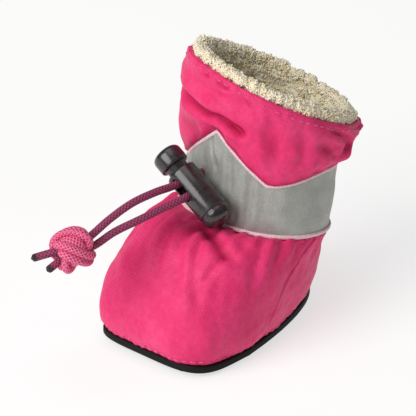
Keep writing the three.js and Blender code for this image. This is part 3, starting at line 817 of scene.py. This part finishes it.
# The strands' free points, as in the CAD model, then through the knot and out as its cut tails.
UPPER_STRAND = [
    (9.2, -3.05, 28.95), (13, -3.2, 29.3), (18, -3.9, 28.9), (22.6, -4.8, 27.3), (26.85, -5.6, 25.2)
]
LOWER_STRAND = [
    (9.2, -0.65, 27.3), (13, -1.3, 26.9), (18, -2.4, 26.1), (22.6, -3.9, 25), (26.65, -5.1, 23.4)
]
UPPER_TAIL = [(30.6, -5.7, 24.5), (33.9, -8.0, 23.9), (37.0, -10.0, 23.2)]
LOWER_TAIL = [(30.7, -6.2, 23.4), (33.4, -6.7, 22.5), (36.0, -7.2, 21.4)]
CORD_SIDES = 14
SEALED_END = 1.3


def make_strand(name, place, free, tail, start_x):
    """One strand, from inside the band through the lock and the knot to its tail, and its path."""
    lock = on_toggle(place)
    start = (start_x, lock[1], lock[2])
    path = smooth_path([start, tuple(lock), *free, *tail], 9)
    left = norm(path[-1] - path, axis=1)
    sealed = np.clip((SEALED_END - left) / 0.4, 0, 1)[:, None] * np.ones(CORD_SIDES)
    tube = tube_grid(path, rounded_ends(path, CORD_DIAMETER / 2), CORD_SIDES)
    return finish_piece(surface(name, tube, sealed), shaded_cord), path


# The knot, drawn up tight: its turns lie on a ring whose section is this wide and this high.
KNOT_RING = 2.1
KNOT_RING_OUT = 1.1
KNOT_RING_HIGH = 2.45
KNOT_CORE_SHARE = 0.72


def across_knot(points):
    """Turns points about Z so that the knot lies across the cords' run, and puts them at its centre."""
    run = (Vector(UPPER_TAIL[1]) - Vector(UPPER_STRAND[-1])).normalized()
    turn = np.array(run.to_track_quat("Z", "Y").to_matrix())
    return points @ turn.T + np.array(KNOT_CENTRE)


def knot_turns():
    """Both strands, side by side, tied in one overhand knot: they pass over and under each other."""
    t = all_round(150)
    reach = KNOT_RING + KNOT_RING_OUT * np.cos(3 * t)
    loop = np.stack([reach * np.cos(2 * t), reach * np.sin(2 * t), KNOT_RING_HIGH * np.sin(3 * t)], axis=1)
    lift = KNOT_RING_HIGH * np.cos(3 * t)
    outward = np.stack([lift * np.cos(2 * t), lift * np.sin(2 * t), KNOT_RING_OUT * np.sin(3 * t)], axis=1)
    beside = unit(np.cross(between_neighbours(loop, 0), outward))
    pieces = []
    for name, side in (("knot_turns_upper", 0.5), ("knot_turns_lower", -0.5)):
        path = across_knot(loop + beside * (side * CORD_DIAMETER))
        grid = tube_grid(path, CORD_DIAMETER * 0.52, 12, closed=True)
        pieces.append(finish_piece(surface(name, grid, tube=True), knot_cord))
    return pieces


def knot_core():
    """The turns that lie hidden inside the knot, seen only as a filling between the outer ones."""
    phi = all_round(20)[:, None]
    turn = all_round(48)
    reach = KNOT_RING - KNOT_RING_OUT * KNOT_CORE_SHARE * np.cos(phi)
    high = KNOT_RING_HIGH * KNOT_CORE_SHARE * np.sin(phi) + 0 * turn
    core = np.stack([reach * np.cos(turn), reach * np.sin(turn), high], axis=-1)
    return finish_piece(surface("knot_core", across_knot(core), tube=True), knot_cord)


knot = [*knot_turns(), knot_core()]
upper_place = slot_start + slot_width / 2
lower_place = slot_end - slot_width / 2
for name, place, free, tail, node in (
    ("cord_upper", upper_place, UPPER_STRAND, UPPER_TAIL, "drawcord_upper"),
    ("cord_lower", lower_place, LOWER_STRAND, LOWER_TAIL, "drawcord_lower"),
):
    strand, path = make_strand(name, place, free, tail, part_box(node)[0][0] / MM + CORD_DIAMETER / 4)
    length = norm(np.diff(path, axis=0), axis=1).sum()
    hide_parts(node)
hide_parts("cord_knot")


def turned(name, profile):
    """A piece of revolution about the lock's axis, spun from its half outline of (radius, place)."""
    bm = bmesh.new()
    corners = [bm.verts.new((radius, 0, place)) for radius, place in profile]
    edges = [bm.edges.new(pair) for pair in zip(corners[:-1], corners[1:])]
    spin = {"cent": (0, 0, 0), "axis": (0, 0, 1), "angle": 2 * pi, "steps": LATHE_SIDES}
    bmesh.ops.spin(bm, geom=corners + edges, use_merge=True, **spin)
    bmesh.ops.remove_doubles(bm, verts=bm.verts, dist=1e-4)
    bmesh.ops.recalc_face_normals(bm, faces=bm.faces)
    turn = Vector((0, 0, 1)).rotation_difference(Vector(toggle_axis)).to_matrix().to_4x4()
    bmesh.ops.transform(bm, matrix=Matrix.Translation(on_toggle(0)) @ turn, verts=bm.verts)
    return keep_mesh(name, bm)


def rim(radius, place, round_size, towards):
    """The rounded edge of a turned piece's end, from its side to its face."""
    turns = [pi / 2 * i / ROUND_STEPS for i in range(ROUND_STEPS + 1)]
    return [
        (radius - round_size * (1 - cos(a)), place + towards * round_size * (1 - sin(a))) for a in turns
    ]


def cut_slot(piece, start):
    """Cuts the cord slot through a turned piece, with a round at each end."""
    bm = bmesh.new()
    radius = slot_width / 2
    straight = (slot_end - start) / 2 - radius
    depth = 2 * TOGGLE_DIAMETER
    bmesh.ops.create_cone(bm, cap_ends=True, segments=40, radius1=radius, radius2=radius, depth=depth)
    for vert in bm.verts:
        vert.co.x += straight if vert.co.x > 0 else -straight
    along, side = Vector(toggle_axis), Vector((1, 0, 0))
    turn = Matrix((along, side.cross(along), side)).transposed().to_4x4()
    middle = on_toggle((start + slot_end) / 2)
    bmesh.ops.transform(bm, matrix=Matrix.Translation(middle) @ turn, verts=bm.verts)
    bmesh.ops.recalc_face_normals(bm, faces=bm.faces)
    cutter = keep_mesh("slot_cutter", bm)
    cut = piece.modifiers.new("slot", "BOOLEAN")
    set_all(cut, operation="DIFFERENCE", solver="EXACT", object=cutter)
    soft = piece.modifiers.new("edges", "BEVEL")
    set_all(soft, width=MOULDED_EDGE * MM, segments=2, limit_method="ANGLE", angle_limit=radians(35))
    done = piece.evaluated_get(bpy.context.evaluated_depsgraph_get())
    shape = bpy.data.meshes.new_from_object(done)
    piece.modifiers.clear()
    piece.data = shape
    bpy.data.objects.remove(cutter)
    shape.shade_smooth()


barrel_radius = TOGGLE_DIAMETER / 2
bore_radius = STEM_DIAMETER / 2 + STEM_CLEARANCE
# Places back from the barrel's end and depths of the moulded line round it.
BARREL_LINE = ((2.6, 0), (2.45, 0.22), (2.15, 0.22), (2.0, 0))
barrel = turned(
    "lock_barrel",
    [
        (0, TOGGLE_LENGTH - BARREL_END_WALL),
        (bore_radius, TOGGLE_LENGTH - BARREL_END_WALL),
        (bore_radius, barrel_start),
        *reversed(rim(barrel_radius, barrel_start, SMALL_ROUND, 1)),
        *((barrel_radius - deep, TOGGLE_LENGTH - back_from) for back_from, deep in BARREL_LINE),
        *rim(barrel_radius, TOGGLE_LENGTH, BARREL_END_ROUND, -1),
        (0, TOGGLE_LENGTH),
    ],
)
cut_slot(barrel, slot_start)
finish_piece(barrel, acetal)
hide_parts("toggle_barrel")

# The head's thumb hollow is this deep. Its edge slopes between these distances from the head's side.
HEAD_HOLLOW = 0.25
HOLLOW_EDGE = (1.3, 1.15)
head_radius = HEAD_DIAMETER / 2
stem_end = slot_end + STEM_TIP
plunger = turned(
    "lock_plunger",
    [
        (0, HEAD_HOLLOW),
        (head_radius - HOLLOW_EDGE[0], HEAD_HOLLOW),
        (head_radius - HOLLOW_EDGE[1], 0),
        *reversed(rim(head_radius, 0, HEAD_ROUND, 1)),
        *rim(head_radius, HEAD_LENGTH, SMALL_ROUND, -1),
        (STEM_DIAMETER / 2, HEAD_LENGTH),
        *rim(STEM_DIAMETER / 2, stem_end, SMALL_ROUND, -1),
        (0, stem_end),
    ],
)
cut_slot(plunger, slot_start - PLUNGER_TRAVEL)
finish_piece(plunger, acetal, "plunger")
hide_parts("toggle_plunger")


# The upper and its fleece.


def thicken(piece, name, thickness):
    """Gives a surface a thickness, inwards."""
    set_all(piece.modifiers.new(name, "SOLIDIFY"), thickness=thickness * MM, offset=-1)


def curled(grid, curls, tube=False):
    """The fleece's surface in small curls: how high and how long they are, and a seed for each size."""
    height = sum(high * ripple(grid, wavelength, seed) for high, wavelength, seed in curls)
    return grid + normals(grid, tube) * height[..., None]


grid, depth, outward, foot_rows = dressed_upper()
shell = surface("upper_shell", grid, depth)
thicken(shell, "cloth", CLOTH_THICKNESS)
finish_piece(shell, pink_cloth)
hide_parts("upper")

lining = curled(lining_rows((grid - outward * WALL)[foot_rows]), ((0.3, 2.1, 21), (0.16, 1.0, 23)))
lining_piece = surface("fleece_lining", lining)
thicken(lining_piece, "knit_backing", KNIT_THICKNESS)
finish_piece(lining_piece, fleece)

edging = curled(edging_rows(), ((0.2, 2.3, 25), (0.14, 1.1, 27)), tube=True)
edging_piece = finish_piece(surface("fleece_edging", edging, tube=True), fleece)
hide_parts("collar_fleece")


def fleece_tufts(name, grid, out, rows, count, seed):
    """Short curls of pile that stand out of the fleece where it shows. Near ones lean the same way."""
    draw = np.random.RandomState(seed)
    tuft = bmesh.new()
    root, tip = TUFT_RADII
    bmesh.ops.create_cone(tuft, cap_ends=True, segments=4, radius1=root, radius2=tip, depth=1)
    bmesh.ops.translate(tuft, vec=(0, 0, 0.5), verts=tuft.verts)
    whole = tuft.verts[:] + tuft.edges[:] + tuft.faces[:]
    bmesh.ops.bisect_plane(tuft, geom=whole, plane_co=(0, 0, 0.5), plane_no=(0, 0, 1))
    tuft.verts.index_update()
    one = np.array([v.co[:] for v in tuft.verts])
    single = bpy.data.meshes.new("tuft")
    tuft.to_mesh(single)
    tuft.free()
    bm = bmesh.new()
    for _ in range(count):
        bm.from_mesh(single)
    bpy.data.meshes.remove(single)
    j = draw.randint(0, rows, count)
    i = draw.randint(0, UPPER_COLUMNS, count)
    aside = np.roll(grid, -1, axis=1)[j, i] - grid[j, i]
    base = grid[j, i] + aside * draw.uniform(size=(count, 1)) - out[j, i] * TUFT_SUNK
    lean = np.stack([ripple(base, 2.4, seed + k) for k in (1, 2, 3)], axis=1)
    way = unit(out[j, i] + 0.75 * lean + 0.35 * draw.normal(size=(count, 3)))
    side = unit(np.cross(way, draw.normal(size=(count, 3))))
    over = np.cross(way, side)
    length = draw.uniform(*TUFT_LENGTHS, size=(count, 1))
    curl = draw.uniform(-0.3, 0.3, size=(count, 1))
    points = [base + x * side + y * over + z * length * way + z * (z + 0.2) * curl * side for x, y, z in one]
    points = np.stack(points, axis=1).reshape(-1, 3)
    for vert, point in zip(bm.verts, points.tolist()):
        vert.co = point
    return finish_piece(keep_mesh(name, bm), fleece)


fleece_tufts("edging_pile", edging, normals(edging, tube=True), EDGING_SIDES, 9000, 31)
fleece_tufts("lining_pile", lining, normals(lining), LINING_SEEN, 7000, 41)


# The band: a soft strip in the upper's recess, with its bindings, and the boot's rows of stitches.

# The band's own folds: angle and place from its lower edge, 0, to its upper edge, 1.
BAND_CREASES = [
    # The narrow fold above the lock.
    ([(-7, 0.93), (-5, 0.8), (-2, 0.68), (1, 0.56)], 0.4, 0.5),
    ([(12, 0.9), (15, 0.7), (19, 0.5), (20, 0.3)], 0.7, 0.22),
    ([(34, 0.7), (36, 0.45), (35, 0.2)], 0.9, 0.2),
    # The fold down the right side.
    ([(106, 0.85), (111, 0.6), (116, 0.35), (118, 0.12)], 0.6, 0.4),
    ([(88, 0.8), (90, 0.5), (88, 0.2)], 0.8, 0.2),
    ([(-40, 0.8), (-38, 0.5), (-40, 0.2)], 0.7, 0.3),
    ([(-100, 0.85), (-104, 0.5), (-108, 0.2)], 0.7, 0.35),
    ([(180, 0.85), (178, 0.5), (181, 0.2)], 0.7, 0.3),
]


def band_grid():
    """The band's rows: round its lower edge, up its outside, round its upper edge and down its back."""
    rows = []
    outline = [(0.03, 0.9), (0.012, 0.7), (0.012, 0.3), (0.03, 0.1)]
    outline += [(at, 0.0) for at in np.linspace(0.06, 0.93, 30)]
    outline += [(0.942, 0.1), (0.948, 0.3), (0.948, 0.7), (0.94, 0.9), (0.5, 0.9)]
    for at, inset in outline:
        base = ring(shaft_at(at), angles, inset)
        swell = sin(pi * at)
        rows.append((base, at, swell if inset < 0.2 else 0.3))
    grid, at, amount = (np.array(column) for column in zip(*rows))
    turn = np.broadcast_to(angles, grid.shape[:2])
    front = near_front(turn, 0.8)
    at, amount = at[:, None], amount[:, None]
    sink = 0.16 * gathers(turn, 21, 41) + (0.1 + 0.2 * front) * gathers(turn, 33, 43)
    sink = sink * (0.4 + 0.6 * np.abs(2 * at - 1)) + 0.12 * ripple(grid, 5, 45) - 0.12
    sink += creases(grid, BAND_CREASES, shaft_at)
    return grid - normals(grid) * (sink * amount)[..., None]


band = finish_piece(surface("reflective_band", band_grid(), tube=True), tape)
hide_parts("ankle_band")


for name, at, radius in (("band_binding_lower", 0.03, 0.42), ("band_binding_upper", 0.92, 0.36)):
    cord = tube_grid(ring(shaft_at(at), angles), radius, 8, closed=True)
    finish_piece(surface(name, cord, tube=True), pale_thread)


def stitches(name, path, length, radius):
    """A row of lockstitches along a closed path: one small rounded bar a stitch."""
    path = np.concatenate([path, path[:1]])
    run = run_along(path)
    bm = bmesh.new()
    for k in range(int(run[-1] / STITCH_PITCH)):
        ends = []
        for place in (k * STITCH_PITCH, k * STITCH_PITCH + length):
            ends.append(Vector([np.interp(place % run[-1], run, path[:, axis]) for axis in range(3)]))
        way = ends[1] - ends[0]
        made = bmesh.ops.create_uvsphere(bm, u_segments=6, v_segments=4, radius=1)
        turn = way.to_track_quat("Z", "Y").to_matrix().to_4x4()
        size = Matrix.Diagonal((radius, radius, way.length / 2, 1))
        middle = Matrix.Translation((ends[0] + ends[1]) / 2)
        bmesh.ops.transform(bm, matrix=middle @ turn @ size, verts=made["verts"])
    return finish_piece(keep_mesh(name, bm), pink_thread)


def seam(part, at, lift):
    """The shell's row nearest to a place on one of its parts, lifted off the cloth."""
    rows = upper_rows()
    near = [i for i, row in enumerate(rows) if row[0] == part]
    row = min(near, key=lambda i: abs(rows[i][1] - at))
    return grid[row] + normals(grid)[row] * lift


stitches("hem_stitches", seam("foot", HEM_SEAM, 0.05), 1.05, 0.16)
stitches("rim_stitches", seam("cuff", RIM_SEAM, 0.04), 1.0, 0.14)


# The sole: a moulded sheet with its studs, and the fleece-covered insole.


def discs(shares, height):
    """Rings that fill a flat face at this height, each a share of the sole's outline."""
    rows = []
    for share in shares:
        section = dict(SOLE_SECTION)
        for key in ("front", "back", "middle", "half"):
            section[key] *= share
        rows.append(ring(section, angles) + (0, 0, height))
    return rows


SOLE_SHARES = (0.02, 0.25, 0.5, 0.7, 0.85)


def sole_sheet():
    """The sole's rows: its underside from the middle out, its rounded edges, and its top back in."""
    rows = discs(SOLE_SHARES, STUD_HEIGHT)
    top = SOLE_THICKNESS + 0.15
    for size, middle, turns in (
        (SOLE_EDGE_ROUND, STUD_HEIGHT + SOLE_EDGE_ROUND, np.linspace(-90, 0, 6)),
        (SOLE_TOP_ROUND, top - SOLE_TOP_ROUND, np.linspace(0, 90, 5)),
    ):
        for a in np.radians(turns):
            edge = ring(SOLE_SECTION, angles, size * (1 - cos(a)))
            rows.append(edge + (0, 0, middle + size * sin(a)))
    return np.array(rows + discs(SOLE_SHARES[::-1], top))


sole = finish_piece(surface("sole_sheet", sole_sheet()), rubber)
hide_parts("outsole")


def inside_sole(x, y, margin):
    middle = SOLE_SECTION["middle"]
    to_heel = max(0, (middle - x) / (middle + HALF_LENGTH))
    wide = y / (1 - HEEL_TAPER * to_heel)
    edge = ring(dict(SOLE_SECTION, taper=0.0), np.array([atan2(wide, x - middle)]), margin)[0]
    return hypot(x - middle, wide) <= hypot(edge[0] - middle, edge[1])


def studs():
    bm = bmesh.new()
    row_pitch = STUD_PITCH * sin(pi / 3)
    margin = STUD_DIAMETER / 2 + SOLE_EDGE_ROUND + GAP
    rows = int(HALF_WIDTH / row_pitch)
    across = ceil(HALF_LENGTH / STUD_PITCH)
    for j in range(-rows, rows + 1):
        for i in range(-across, across + 1):
            x = (i + (abs(j) % 2) / 2) * STUD_PITCH
            y = j * row_pitch
            if not inside_sole(x, y, margin):
                continue
            height = STUD_HEIGHT + 0.3
            radii = {"radius1": STUD_DIAMETER / 2 - STUD_DRAFT, "radius2": STUD_DIAMETER / 2}
            made = bmesh.ops.create_cone(bm, cap_ends=True, segments=20, depth=height, **radii)
            middle = (x, y, height / 2 + float(spring_at(x)))
            bmesh.ops.translate(bm, vec=middle, verts=made["verts"])
    return finish_piece(keep_mesh("sole_studs", bm), rubber)


studs()


def insole_grid():
    """The insole's rows, from the middle of its underside round its edge to the middle of its top."""
    inset = HEM_INSET + WALL + GAP
    top = HEM_HEIGHT + INSOLE_THICKNESS
    rows = discs((0.02, 0.3, 0.6), HEM_HEIGHT)
    edge = ((0.2, HEM_HEIGHT), (0, HEM_HEIGHT + 0.3), (0, top - 0.3), (0.3, top))
    rows += [ring(SOLE_SECTION, angles, inset + more) + (0, 0, height) for more, height in edge]
    return np.array(rows + discs((0.7, 0.6, 0.45, 0.3, 0.15, 0.02), top))


insole = insole_grid()
insole[6:] += np.array([0, 0, 1]) * (0.12 * ripple(insole[6:], 2.0, 51))[..., None]
insole_piece = finish_piece(surface("insole_fleece", insole), fleece)
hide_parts("insole")


# The studio: a white floor that shines a little, a broad key light, a weaker one above and a pale sky.

bm = bmesh.new()
bmesh.ops.create_grid(bm, x_segments=8, y_segments=8, size=1500)
floor = keep_mesh("studio_floor", bm)
material, tree, shader = new_material(
    "matt_white_acrylic_lit", Roughness=0.9, Emission_Color=(1, 1, 1, 1), Emission_Strength=0.68
)
WHITES = [(0.3, "#a0a09f"), (0.7, "#a4a4a3")]
cloud = add_node(tree, "ShaderNodeTexNoise", {"Vector": millimetres(tree), "Scale": 0.02, "Detail": 2})
white = add_node(tree, "ShaderNodeValToRGB", {"Fac": cloud.outputs["Fac"]}, WHITES)
tree.links.new(white.outputs["Color"], shader.inputs["Base Color"])
floor.data.materials.append(material)


LIT_PLACE = (0, 0, 0.02)


def area_light(name, place, size, power, colour):
    """A round lamp, in metres and watts, that faces the boot."""
    light = bpy.data.lights.new(name, "AREA")
    set_all(light, shape="DISK", size=size, energy=power, color=colour)
    add_object(name, light, place, Vector(LIT_PLACE) - Vector(place))


area_light("key_light", (1.0, -0.12, 0.76), 1.0, 13.3, (1, 0.985, 0.97))
area_light("top_light", (0.1, -0.1, 1.15), 0.9, 3.5, (1, 1, 1))

world = bpy.data.worlds.new("pale_studio")
world.use_nodes = True
sky = world.node_tree.nodes["Background"].inputs
sky["Color"].default_value = (0.95, 0.96, 0.98, 1)
sky["Strength"].default_value = 0.14
bpy.context.scene.world = world
bpy.context.scene.view_settings.view_transform = "Standard"
